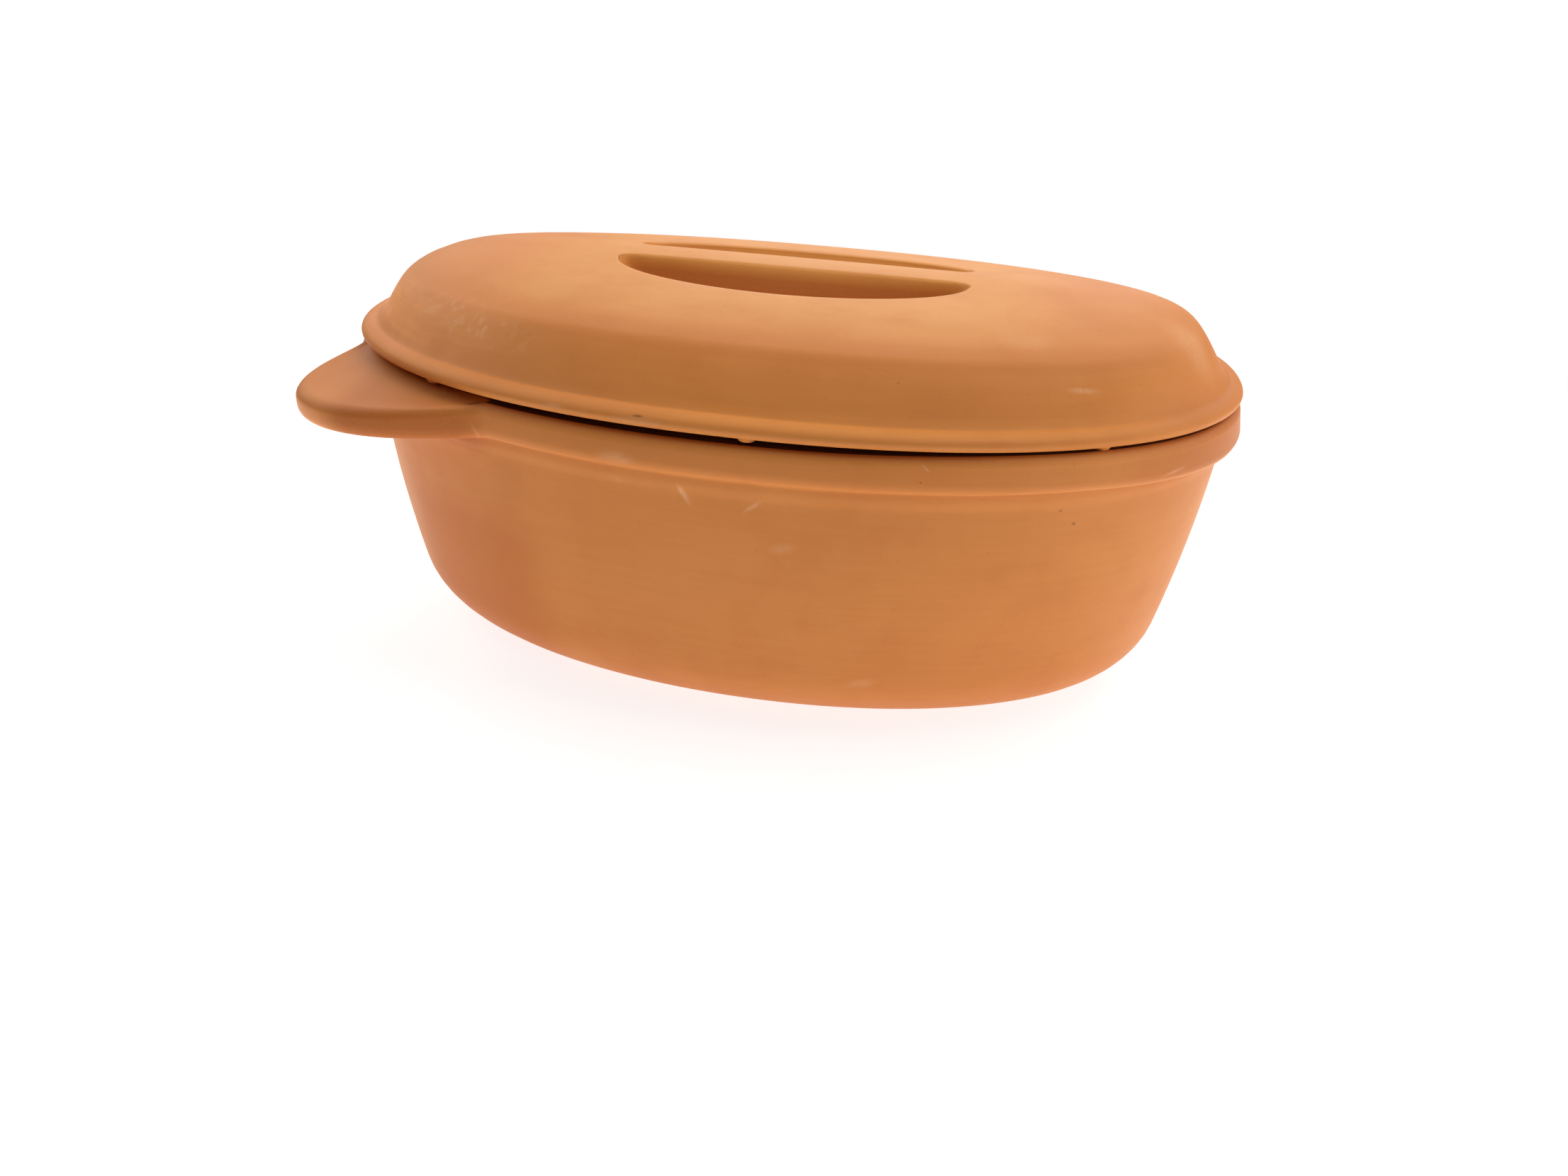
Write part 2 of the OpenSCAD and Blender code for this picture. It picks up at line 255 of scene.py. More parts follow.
@dataclass(frozen=True)
class LedgeHandles:
    """Two ledges drawn out of the rim at opposite corners, in millimetres and degrees."""

    reach: float = 33.5
    turn: float = 40.0
    end_half: float = 19.0
    side_half: float = 22.0
    thick: float = 11.0
    drop: float = 3.5
    fillet: float = 4.0
    edge_height: float = 4.0
    edge_width: float = 5.5
    lobe_power: float = 1.4
    end_lobe_power: float = 1.28
    fall_power: float = 0.6
    ramp_power: float = 2.2
    crowding: float = 0.21

    def lobe(self, t: Numbers) -> Numbers:
        """Outline of the handles.

        Args:
            t: angles in radians.

        Returns:
            The share of a handle's full reach at each angle.
        """
        off = np.mod(np.degrees(t) - self.turn + 90.0, 180.0) - 90.0
        share = np.where(off < 0.0, off / self.end_half, off / self.side_half)
        power = np.where(off < 0.0, self.end_lobe_power, self.lobe_power)
        return np.where(np.abs(share) < 1.0, np.maximum(1.0 - share * share, 0.0) ** power, 0.0)

    def crowd(self, count: int) -> Numbers:
        """Angles of the stations round the pot, closer together in the handles."""
        even = circle(count)
        return even - self.crowding * np.sin(2.0 * (even - math.radians(self.turn)))


@dataclass
class Pot:
    """Deep oval pot with its rim band and ledge handles, in millimetres."""

    rim: Rim
    handles: LedgeHandles
    stations: int = 400
    wall_n: float = 2.04
    band_out: float = 4.4
    end_lean: float = 18.9
    side_lean: float = 28.9
    belly: float = 0.15
    foot_radius: float = 31.0
    wall: float = 10.0
    floor: float = 11.0
    rim_radius: float = 4.0
    inner_radius: float = 3.0
    under_width: float = 3.6
    under_height: float = 5.0
    roll_start: float = 8.5
    roll_out: float = 0.8
    ramp_strip: float = 2.4
    end_drop: float = 1.4
    end_from: float = 0.6
    end_flare: float = 1.4
    waviness: float = 0.22
    wave_turns: tuple[float, float] = (3.0, 7.0)
    wave_heights: tuple[float, float] = (23.0, 31.0)
    wave_shift: float = 0.7
    second_wave: float = 0.6
    wave_fade: float = 30.0
    roll_speed: float = 1.6
    fillet_power: float = 4.0
    under_shares: tuple[float, ...] = (0.0, 0.06, 0.14, 0.24, 0.36, 0.5, 0.66, 0.83)
    floor_shares: tuple[float, ...] = (0.82, 0.6, 0.35, 0.14)
    foot_rings: int = 13
    wall_rings: int = 19
    roll_rings: int = 8
    edge_rings: int = 9
    ramp_rings: int = 15
    mouth_rings: int = 8
    inner_rings: int = 13
    well_rings: int = 10

    @property
    def wall_height(self) -> float:
        """Height of the wall under the band."""
        return self.rim.height - self.rim.band

    def wave(self, t: Numbers, z: Numbers | float) -> Numbers:
        """Wave of the hand pressed wall, fading out at the foot.

        Args:
            t: angles in radians.
            z: heights in millimetres.

        Returns:
            How far the wall stands out at each point.
        """
        first = np.sin(self.wave_turns[0] * t + self.wave_shift) * np.cos(z / self.wave_heights[0])
        second = np.sin(self.wave_turns[1] * t - z / self.wave_heights[1])
        return self.waviness * (first + self.second_wave * second) * ease(z / self.wave_fade)

    def wall_at(self, t: Numbers, z: Numbers | float, inward: Numbers | float) -> Ring:
        """Points of the wall.

        Args:
            t: angles in radians.
            z: heights in millimetres.
            inward: how far in from the wall's outer face.

        Returns:
            The x, y and z of each point.
        """
        share = z / self.wall_height
        lean = 1.0 - (share + 4.0 * self.belly * share * (1.0 - share))
        grow = self.wave(t, z) - self.band_out - inward
        oval_a = self.rim.outline.a + grow - self.end_lean * lean
        oval_b = self.rim.outline.b + grow - self.side_lean * lean
        x = oval_a * signed_power(np.cos(t), 2.0 / self.wall_n)
        y = oval_b * signed_power(np.sin(t), 2.0 / self.wall_n)
        return x, y, z

    def outside(self, t: Numbers) -> list[Ring]:
        """Rings up the outside, from the foot's edge to the rim band's root.

        Args:
            t: angles in radians.

        Returns:
            The x, y and z of each ring.
        """
        rings = []
        for turn in quarter(self.foot_rings):
            rings.append(self.wall_at(t, self.foot_radius * (1.0 - math.cos(turn)),
                                      self.foot_radius * (1.0 - math.sin(turn))))
        roll_z = self.wall_height - self.roll_start
        for share in shares(self.wall_rings)[1:]:
            rings.append(self.wall_at(t, lerp(self.foot_radius, roll_z, share), 0.0))
        root = self.root_height(t)
        for share in shares(self.roll_rings)[1:-1]:
            swell = self.roll_out * ease(self.roll_speed * share)
            rings.append(self.wall_at(t, lerp(roll_z, root, share), -swell))
        return rings

    def right_share(self, t: Numbers) -> Numbers:
        """Share of the right end's own form at each angle."""
        return ease((np.cos(t) - self.end_from) / (1.0 - self.end_from))

    def under_height_at(self, t: Numbers) -> Numbers:
        """Height of the band's and the handles' underside, lower at the right end."""
        hand = self.handles
        fall = self.end_drop * self.right_share(t) + hand.drop * hand.lobe(t) ** hand.fall_power
        return self.wall_height - fall

    def root_height(self, t: Numbers) -> Numbers:
        """Height at which the wall turns out into the band or a handle."""
        return self.under_height_at(t) - self.handles.fillet * self.handles.lobe(t)

    def band_rings(self, t: Numbers) -> list[Ring]:
        """Rings from the wall out under the band and handles, up the edge and in over the top.

        Args:
            t: angles in radians.

        Returns:
            The x, y and z of each ring.
        """
        hand, lobe = self.handles, self.handles.lobe(t)
        reach, under, root = hand.reach * lobe, self.under_height_at(t), self.root_height(t)
        top = self.rim.top(self.rim.at(t, 0.0)[0])
        edge_top = lerp(top, self.wall_height - hand.drop + hand.thick, lobe ** hand.fall_power)
        edge_w = lerp(self.rim_radius, hand.edge_width, lobe)
        edge_h = lerp(self.rim_radius, hand.edge_height, lobe)
        low_reach = reach + self.end_flare * self.right_share(t)
        rings = []
        start_x, start_y, _ = self.wall_at(t, root, -self.roll_out)
        end_x, end_y = self.rim.at(t, low_reach - self.under_width)
        for share in self.under_shares:
            x, y = lerp(start_x, end_x, share), lerp(start_y, end_y, share)
            rings.append((x, y, lerp(under, root, (1.0 - share) ** self.fillet_power)))
        for turn in quarter(self.edge_rings):
            x, y = self.rim.at(t, low_reach - self.under_width * (1.0 - math.sin(turn)))
            rings.append((x, y, under + self.under_height * (1.0 - math.cos(turn))))
        for turn in quarter(self.edge_rings):
            x, y = self.rim.at(t, reach - edge_w * (1.0 - math.cos(turn)))
            rings.append((x, y, edge_top - edge_h * (1.0 - math.sin(turn))))
        flat_in = self.rim_radius + self.ramp_strip
        for share in shares(self.ramp_rings)[1:]:
            x, y = self.rim.at(t, lerp(reach - edge_w, -flat_in, share))
            rings.append((x, y, lerp(edge_top, top, share ** hand.ramp_power)))
        return rings

    def inside(self, t: Numbers) -> list[Ring]:
        """Rings from the rim's inner edge down the inside to the floor.

        Args:
            t: angles in radians.

        Returns:
            The x, y and z of each ring.
        """
        top = self.rim.top(self.rim.at(t, 0.0)[0])
        well = self.foot_radius - self.wall
        rings = []
        for turn in quarter(self.mouth_rings):
            rings.append(self.wall_at(t, top - self.inner_radius * (1.0 - math.cos(turn)),
                                      self.wall - self.inner_radius * (1.0 - math.sin(turn))))
        for share in shares(self.inner_rings)[1:]:
            height = lerp(top - self.inner_radius, self.floor + well, share)
            rings.append(self.wall_at(t, height, self.wall))
        for turn in quarter(self.well_rings)[1:]:
            rings.append(self.wall_at(t, self.floor + well * (1.0 - math.sin(turn)),
                                      self.wall + well * (1.0 - math.cos(turn))))
        return rings

    def build(self) -> bpy.types.Object:
        """Model the pot as one closed mesh.

        Returns:
            The pot's object.
        """
        t = self.handles.crowd(self.stations)
        clay = Sheet()
        rings = [clay.add(*ring) for ring in self.outside(t) + self.band_rings(t) + self.inside(t)]
        clay.bands(rings)
        for height, edge, facing_out in ((0.0, rings[0], True), (self.floor, rings[-1], False)):
            spots = np.concatenate(clay.points)[edge]
            ring = edge
            for share in self.floor_shares:
                smaller = clay.add(spots[:, 0] * share, spots[:, 1] * share, height)
                if facing_out:
                    clay.band(smaller, ring)
                else:
                    clay.band(ring, smaller)
                ring = smaller
            centre = clay.add(np.zeros(1), np.zeros(1), height)
            clay.cap(ring, int(centre[0]), facing_out)
        return clay.make("clay_pot")

    def dress(self, piece: bpy.types.Object, clay: bpy.types.Material) -> None:
        """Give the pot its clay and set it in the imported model."""
        piece.data.materials.append(clay)
        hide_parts("pot")
        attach(piece, "root")


class Side(Enum):
    """The two long sides of the lid's ridge."""

    FRONT = -1
    BACK = 1


@dataclass(frozen=True)
class Scoop:
    """One finger scoop beside the grip ridge, in millimetres."""

    reach: float
    tip: float
    brim_softness: float
    squareness: float

    def outer(self, share: Numbers, bow: float) -> Numbers:
        """Distance of the brim from the ridge's middle at each share of the half length."""
        bulge = np.maximum(1.0 - share ** bow, 0.0) ** (1.0 / self.squareness)
        return lerp(self.tip, self.reach, bulge)


@dataclass(frozen=True)
class Grip:
    """Straight ridge left standing between two finger scoops, in millimetres."""

    length: float = 149.6
    front: Scoop = Scoop(51.8, 17.5, 0.8, 1.66)
    back: Scoop = Scoop(39.5, 17.5, 2.4, 2.5)
    depth: float = 15.0
    ridge: float = 24.0
    ridge_end: float = 35.0
    end_power: float = 34.0
    bow: float = 2.0
    bed: float = 0.24
    wall_power: float = 1.35
    bed_softness: float = 5.0
    bed_power: float = 6.0
    bed_round: float = 0.6
    brim_power: float = 0.75
    brim_fall: float = 2.5
    round_share: float = 0.7
    shallow: float = 6.0
    ridge_softness: float = 1.1
    margin: float = 8.0

    def scoop(self, side: Side) -> Scoop:
        """The scoop on one side of the ridge."""
        return self.front if side is Side.FRONT else self.back

    def share(self, x: Numbers) -> Numbers:
        """Share of half the scoop's length at each x."""
        return np.minimum(np.abs(x) * 2.0 / self.length, 1.0)

    def inner(self, x: Numbers) -> Numbers:
        """Distance of the ridge's edge from its middle."""
        return lerp(self.ridge, self.ridge_end, self.share(x) ** self.end_power) / 2.0

    def outer(self, x: Numbers, side: Side) -> Numbers:
        """Distance of a scoop's brim from the ridge's middle."""
        return self.scoop(side).outer(self.share(x), self.bow)

    def sunk(self, x: Numbers, y: Numbers) -> Numbers:
        """Depth of the scoops under the crown, with the ridge's and the brim's edges eased.

        Args:
            x: x of each point.
            y: y of each point.

        Returns:
            How far the crown is sunk there.
        """
        deep = self.depth * np.maximum(1.0 - self.share(x) ** self.bed_power, 0.0) ** self.bed_round
        inner, front = self.inner(x), y < 0.0
        outer = np.where(front, self.outer(x, Side.FRONT), self.outer(x, Side.BACK))
        brim_softness = np.where(front, self.front.brim_softness, self.back.brim_softness)
        q = (np.abs(y) - inner) / np.maximum(outer - inner, TINY)
        rise = q / self.bed
        wall = deep * np.where(q > 0.0, np.maximum(rise, 0.0) ** self.wall_power, rise)
        bowl = deep * (np.cos(math.pi / 2.0 * np.clip(q, 0.0, 1.0)) ** self.brim_power
                       - self.brim_fall * np.maximum(q - 1.0, 0.0))
        rounding = self.bed_softness * ease(np.minimum(wall, bowl) / (self.round_share * self.depth))
        raw = soft_lower(wall, bowl, rounding)
        soft = lerp(self.ridge_softness, brim_softness, np.clip(q, 0.0, 1.0))
        soft = soft * np.minimum(deep / self.shallow, 1.0)
        return np.where(deep > 0.0, soft_positive(raw, soft), 0.0)


@dataclass(frozen=True)
class Feet:
    """Small clay feet under the lid's flange, in millimetres and degrees."""

    count: int = 8
    root_width: float = 8.8
    tip_width: float = 6.2
    turn: float = 2.1
    spread: float = 4.2
    inset: float = 0.8
    short: float = 1.1
    short_from: float = -170.0
    short_to: float = -70.0
    rounding: float = 0.5
    sunk: float = 1.0
    stations: int = 40
    edge_rings: int = 5

    def angles(self) -> list[float]:
        """Angle of each foot round the lid, in degrees."""
        steps = [360.0 * k / self.count for k in range(self.count)]
        return [self.turn - step - self.spread * math.sin(math.radians(2.0 * step)) for step in steps]

    def is_short(self, angle: float) -> bool:
        """Whether the foot at this angle stays clear of the rim."""
        return self.short_from < angle < self.short_to

    def section(self, low: float, high: float) -> list[tuple[float, float]]:
        """Section of one foot.

        Args:
            low: height of its tip.
            high: height of its root.

        Returns:
            The radius and height of each ring, from the tip up.
        """
        tip, root = self.tip_width / 2.0, self.root_width / 2.0
        edge = [(tip - self.rounding * (1.0 - math.sin(turn)),
                 low + self.rounding * (1.0 - math.cos(turn))) for turn in quarter(self.edge_rings)]
        flank = [(lerp(tip, root, share),
                  lerp(low + self.rounding, high, share)) for share in (0.5, 1.0)]
        return edge + flank


@dataclass
class Lid:
    """Domed lid with a flange, a centring lip, small feet and the grip, in millimetres."""

    rim: Rim
    grip: Grip
    feet: Feet
    stations: int = 320
    seat_gap: float = 2.4
    inset: float = 0.6
    flange: float = 6.0
    low_radius: float = 2.6
    top_height: float = 3.4
    top_width: float = 5.5
    dome: float = 37.3
    dome_n: float = 2.3
    end_step: float = 15.7
    side_step: float = 9.0
    side_widen: float = 2.5
    left_cove: float = 4.2
    right_cove: float = 2.6
    side_cove: float = 2.0
    end_shoulder: float = 8.0
    side_shoulder: float = 10.5
    shell: float = 10.0
    lip_height: float = 8.0
    lip_thick: float = 8.0
    lip_radius: float = 2.0
    end_rise: float = 5.1
    end_round: float = 4.5
    side_rise: float = 3.55
    side_round: float = 1.2
    dome_from: float = 0.66
    dome_to: float = 0.75
    crest_softness: float = 3.0
    sag: float = 1.0
    sag_from: tuple[float, float] = (70.0, 25.0)
    sag_over: tuple[float, float] = (60.0, 45.0)
    inner: Oval = Oval(168.6, 115.2, 2.04)
    slope_step: float = 0.01
    lip_down: tuple[float, ...] = (0.3, 0.7, 1.0)
    lip_up: tuple[float, ...] = (0.5, 0.9)
    lip_root: tuple[tuple[float, float], ...] = ((0.3, 0.1), (1.0, 0.0))
    middle_rings: int = 6
    ceiling_rings: int = 15
    lip_rings: int = 6
    low_rings: int = 7
    bead_rings: int = 12
    hollow_rings: int = 21
    dome_rings: int = 12
    crown_rings: int = 16
    scoop_rows: int = 25
    ridge_rows: int = 15
    outer_rows: int = 9
    ridge_most: float = 0.35
    brim_most: float = 0.85
    scoop_least: float = 0.25

    @property
    def seat(self) -> float:
        """Height of the flange's underside."""
        return self.rim.height + self.seat_gap

    @property
    def edge(self) -> Oval:
        """Outline of the flange."""
        outline = self.rim.outline
        return Oval(outline.a - self.inset, outline.b - self.inset, outline.n)

    @property
    def shoulder(self) -> Oval:
        """Outline of the dome at its foot."""
        return Oval(self.edge.a - self.end_step, self.edge.b - self.side_step, self.dome_n)

    def narrowing(self, level: Numbers | float) -> tuple[Numbers, Numbers]:
        """Shares of the dome's half length and half width that are left at a level."""
        level = np.minimum(level, 1.0)
        return (
            (1.0 - level ** self.end_rise) ** (1.0 / self.end_round),
            (1.0 - level ** self.side_rise) ** (1.0 / self.side_round),
        )

    def outline_at(self, foot: Oval, level: float, t: Numbers) -> tuple[Numbers, Numbers]:
        """Outline of a dome at a share of its height."""
        end, side = self.narrowing(level)
        return Oval(foot.a * end, foot.b * side, foot.n).at(t)

    def level_over(self, foot: Oval, x: Numbers, y: Numbers) -> Numbers:
        """Share of a dome's height over each point, found by halving.

        Args:
            foot: outline of the dome at its foot.
            x: x of each point.
            y: y of each point.

        Returns:
            The level of the dome's surface over each point, from 0 to 1.
        """
        x, y = soft_size(x, self.crest_softness), soft_size(y, self.crest_softness)
        low, high = np.zeros_like(x), np.ones_like(x)
        for _ in range(HALVINGS):
            middle = 0.5 * (low + high)
            end, side = self.narrowing(middle)
            under = (x / (foot.a * end)) ** foot.n + (y / (foot.b * side)) ** foot.n < 1.0
            low, high = np.where(under, middle, low), np.where(under, high, middle)
        return low

    def settled(self, x: Numbers, y: Numbers) -> Numbers:
        """How far the middle of the crown has sunk in the fire."""
        along = 1.0 - ease((np.abs(x) - self.sag_from[0]) / self.sag_over[0])
        across = 1.0 - ease((np.abs(y) - self.sag_from[1]) / self.sag_over[1])
        return self.sag * along * across

    def crown(self, x: Numbers, y: Numbers) -> Numbers:
        """Height of the dome's outside over each point, scoops included."""
        full = self.seat + self.dome * self.level_over(self.shoulder, x, y)
        return full - self.settled(x, y) - self.grip.sunk(x, y)

    def ceiling(self, x: Numbers, y: Numbers) -> Numbers:
        """Height of the dome's inside over each point, with the scoops' undersides."""
        full = self.seat + (self.dome - self.shell) * self.level_over(self.inner, x, y)
        return full - self.grip.sunk(x, y)

    def crown_edge(self, t: Numbers) -> tuple[Numbers, Numbers]:
        """Outline round both scoops, where the rings give way to the grid."""
        reach = max(self.grip.front.reach, self.grip.back.reach) + self.grip.margin
        return (self.grip.length / 2.0 + self.grip.margin) * np.cos(t), reach * np.sin(t)

    def flange_at(self, t: Numbers, inward: float) -> tuple[Numbers, Numbers]:
        """Points at a distance in from the flange's edge."""
        x, y = self.edge.at(t)
        u, v = self.rim.outward(t)
        return x - inward * u, y - inward * v

    def bead_width(self, t: Numbers) -> Numbers:
        """Width of the flange's rounded top, broader along the sides."""
        return self.top_width + self.side_widen * np.sin(t) ** 2

    def rings(self, t: Numbers) -> list[Ring]:
        """Rings from the ceiling's middle down to the lip, round the flange and up to the crown.

        Args:
            t: angles in radians.

        Returns:
            The x, y and z of each ring.
        """
        rings = []
        from_x, from_y = self.crown_edge(t)
        to_x, to_y = self.outline_at(self.inner, self.dome_to, t)
        for share in shares(self.middle_rings)[:-1]:
            x, y = lerp(from_x, to_x, share), lerp(from_y, to_y, share)
            rings.append((x, y, self.ceiling(x, y)))
        for level in np.linspace(self.dome_to, 0.0, self.ceiling_rings):
            height = self.seat + (self.dome - self.shell) * level
            rings.append((*self.outline_at(self.inner, level, t), height))
        rings += [(*self.inner.at(t, grow), height) for grow, height in self.lip_profile()]
        for turn in quarter(self.low_rings):
            inward = self.low_radius * (1.0 - math.sin(turn))
            height = self.seat + self.low_radius * (1.0 - math.cos(turn))
            rings.append((*self.flange_at(t, inward), height))
        for turn in quarter(self.bead_rings):
            height = self.seat + self.flange - self.top_height * (1.0 - math.sin(turn))
            rings.append((*self.flange_at(t, self.bead_width(t) * (1.0 - math.cos(turn))), height))
        rings += self.shoulder_rings(t, rings[-1])
        for level in np.linspace(self.dome_from, self.dome_to, self.dome_rings):
            rings.append((*self.outline_at(self.shoulder, level, t), self.seat + self.dome * level))
        from_x, from_y = self.outline_at(self.shoulder, self.dome_to, t)
        to_x, to_y = self.crown_edge(t)
        for share in shares(self.crown_rings)[1:]:
            x, y = lerp(from_x, to_x, share), lerp(from_y, to_y, share)
            rings.append((x, y, self.crown(x, y)))
        return rings

    def lip_profile(self) -> list[tuple[float, float]]:
        """Section of the centring lip.

        Returns:
            Growth from the inner outline and height of each point.
        """
        low, rounding = self.seat - self.lip_height, self.lip_radius
        section = [(0.0, lerp(self.seat, low + rounding, share)) for share in self.lip_down]
        for turn in quarter(self.lip_rings)[1:]:
            section.append((rounding * (1.0 - math.cos(turn)), low + rounding * (1.0 - math.sin(turn))))
        for turn in quarter(self.lip_rings):
            section.append((self.lip_thick - rounding * (1.0 - math.sin(turn)),
                            low + rounding * (1.0 - math.cos(turn))))
        section += [(self.lip_thick, lerp(low + rounding, self.seat, share)) for share in self.lip_up]
        section += [(self.lip_thick + grow, self.seat - depth) for grow, depth in self.lip_root]
        return section

    def shoulder_rings(self, t: Numbers, start: Ring) -> list[Ring]:
        """Rings of the soft hollow between the flange and the dome.

        Args:
            t: angles in radians.
            start: the flange's last ring.

        Returns:
            The x, y and z of each ring.
        """
        endward = np.cos(t) ** 2
        cove = lerp(self.side_cove, np.where(np.cos(t) < 0.0, self.left_cove, self.right_cove), endward)
        reach = lerp(self.side_shoulder, self.end_shoulder, endward)
        low_x, low_y = self.flange_at(t, self.bead_width(t) + cove)
        end_x, end_y = self.outline_at(self.shoulder, self.dome_from, t)
        over_x, over_y = self.outline_at(self.shoulder, self.dome_from + self.slope_step, t)
        end_z = np.full_like(end_x, self.seat + self.dome * self.dome_from)
        down = np.full_like(end_x, -self.slope_step * self.dome)
        slope = np.stack([end_x - over_x, end_y - over_y, down])
        first, last = np.stack(np.broadcast_arrays(*start)), np.stack([end_x, end_y, end_z])
        low = np.stack([low_x, low_y, first[2]])
        high = last + reach * slope / np.linalg.norm(slope, axis=0)
        rings = []
        for share in shares(self.hollow_rings)[1:-1]:
            rest = 1.0 - share
            spot = rest ** 3 * first + 3.0 * rest * rest * share * low
            rings.append(tuple(spot + 3.0 * rest * share * share * high + share ** 3 * last))
        return rings

    def row_places(self, x: float, half: float) -> Numbers:
        """Rows of the grid across the grip at one x, closest together along its edges.

        Args:
            x: place along the ridge.
            half: half width of the crown's outline there.

        Returns:
            The y of each row, from front to back.
        """
        ridge = min(float(self.grip.inner(np.array(x))), self.ridge_most * half)
        brims = {}
        for side in Side:
            brim = float(self.grip.outer(np.array(x), side))
            brims[side] = max(min(brim, self.brim_most * half), ridge + self.scoop_least * half)
        close = close_at_ends(self.scoop_rows)
        few = np.sin(quarter(self.outer_rows))
        return np.concatenate([
            -lerp(half, brims[Side.FRONT], few),
            -lerp(brims[Side.FRONT], ridge, close)[1:],
            lerp(-ridge, ridge, close_at_ends(self.ridge_rows))[1:],
            lerp(ridge, brims[Side.BACK], close)[1:],
            lerp(brims[Side.BACK], half, 1.0 - few[::-1])[1:],
        ])

    def fill(self, clay: Sheet, ring: Numbers, t: Numbers, inside: bool) -> None:
        """Fill the middle of the dome with a grid that follows the grip's edges.

        Args:
            clay: the mesh being made.
            ring: indices of the crown's outline, one for each station.
            t: angles of the stations.
            inside: whether this is the ceiling.
        """
        half = self.stations // 2
        edge_x, edge_y = self.crown_edge(t)
        rows = len(self.row_places(0.0, float(edge_y[half // 2])))
        table = np.zeros((half + 1, rows), dtype=int)
        table[0, :], table[half, :] = ring[0], ring[half]
        for column in range(1, half):
            y = self.row_places(float(edge_x[column]), float(edge_y[column]))[1:-1]
            x = np.full_like(y, edge_x[column])
            z = self.ceiling(x, y) if inside else self.crown(x, y)
            table[column, 1:-1] = clay.add(x, y, z)
            table[column, 0], table[column, -1] = ring[self.stations - column], ring[column]
        clay.grid(table, not inside)

    def foot(self, angle: float) -> bpy.types.Object:
        """Model one foot under the flange.

        Args:
            angle: place round the lid in degrees.

        Returns:
            The foot's object, to be joined to the lid.
        """
        feet = self.feet
        x, y = self.flange_at(np.array([math.radians(angle)]), feet.inset + feet.root_width / 2.0)
        low = float(self.rim.top(x)[0]) + (feet.short if feet.is_short(angle) else 0.0)
        high = self.seat + feet.sunk
        t = circle(feet.stations)
        clay = Sheet()
        rings = [clay.add(x[0] + radius * np.cos(t), y[0] + radius * np.sin(t), z)
                 for radius, z in feet.section(low, high)]
        clay.bands(rings)
        clay.cap(rings[0], int(clay.add(x, y, low)[0]), True)
        clay.cap(rings[-1], int(clay.add(x, y, high)[0]), False)
        return clay.make("lid_foot")

    def build(self) -> bpy.types.Object:
        """Model the lid as one closed mesh, its feet united with the flange.

        Returns:
            The lid's object.
        """
        t = circle(self.stations)
        clay = Sheet()
        rings = [clay.add(*ring) for ring in self.rings(t)]
        clay.bands(rings)
        with np.errstate(divide="ignore", invalid="ignore"):
            self.fill(clay, rings[0], t, True)
            self.fill(clay, rings[-1], t, False)
        lid = clay.make("clay_lid")
        for angle in self.feet.angles():
            self.unite(lid, self.foot(angle))
        lid.data.shade_smooth()
        return lid

    @staticmethod
    def unite(lid: bpy.types.Object, foot: bpy.types.Object) -> None:
        """Join a foot to the lid's mesh and drop the loose foot.

        Args:
            lid: the lid's object, which gets the joined mesh.
            foot: the foot's object, which is deleted.
        """
        joiner = lid.modifiers.new("foot", "BOOLEAN")
        joiner.operation, joiner.solver, joiner.object = "UNION", "EXACT", foot
        bpy.context.view_layer.update()
        ready = lid.evaluated_get(bpy.context.evaluated_depsgraph_get())
        joined = bpy.data.meshes.new_from_object(ready)
        lid.modifiers.remove(joiner)
        lid.data = joined
        joined.name = lid.name
        bpy.data.objects.remove(foot, do_unlink=True)

    def dress(self, piece: bpy.types.Object, clay: bpy.types.Material) -> None:
        """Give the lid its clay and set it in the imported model."""
        piece.data.materials.clear()
        piece.data.materials.append(clay)
        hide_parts("lid")
        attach(piece, "root")


class Wire:
    """A shader socket that takes part in Python arithmetic."""

    def __init__(self, tree: "ShaderTree", socket: bpy.types.NodeSocket) -> None:
        """Hold the socket and the tree that it belongs to."""
        self.tree = tree
        self.socket = socket

    def _math(self, operation: str, first: "Wire | float", second: "Wire | float") -> "Wire":
        """Result of a Math node on two values."""
        return self.tree.node("ShaderNodeMath", {"operation": operation}, {0: first, 1: second})

    def __add__(self, other: "Wire | float") -> "Wire":
        """Sum."""
        return self._math("ADD", self, other)

    __radd__ = __add__

    def __sub__(self, other: "Wire | float") -> "Wire":
        """Difference."""
        return self._math("SUBTRACT", self, other)

    def __rsub__(self, other: float) -> "Wire":
        """Difference from a number."""
        return self._math("SUBTRACT", other, self)

    def __mul__(self, other: "Wire | float") -> "Wire":
        """Product."""
        return self._math("MULTIPLY", self, other)

    __rmul__ = __mul__


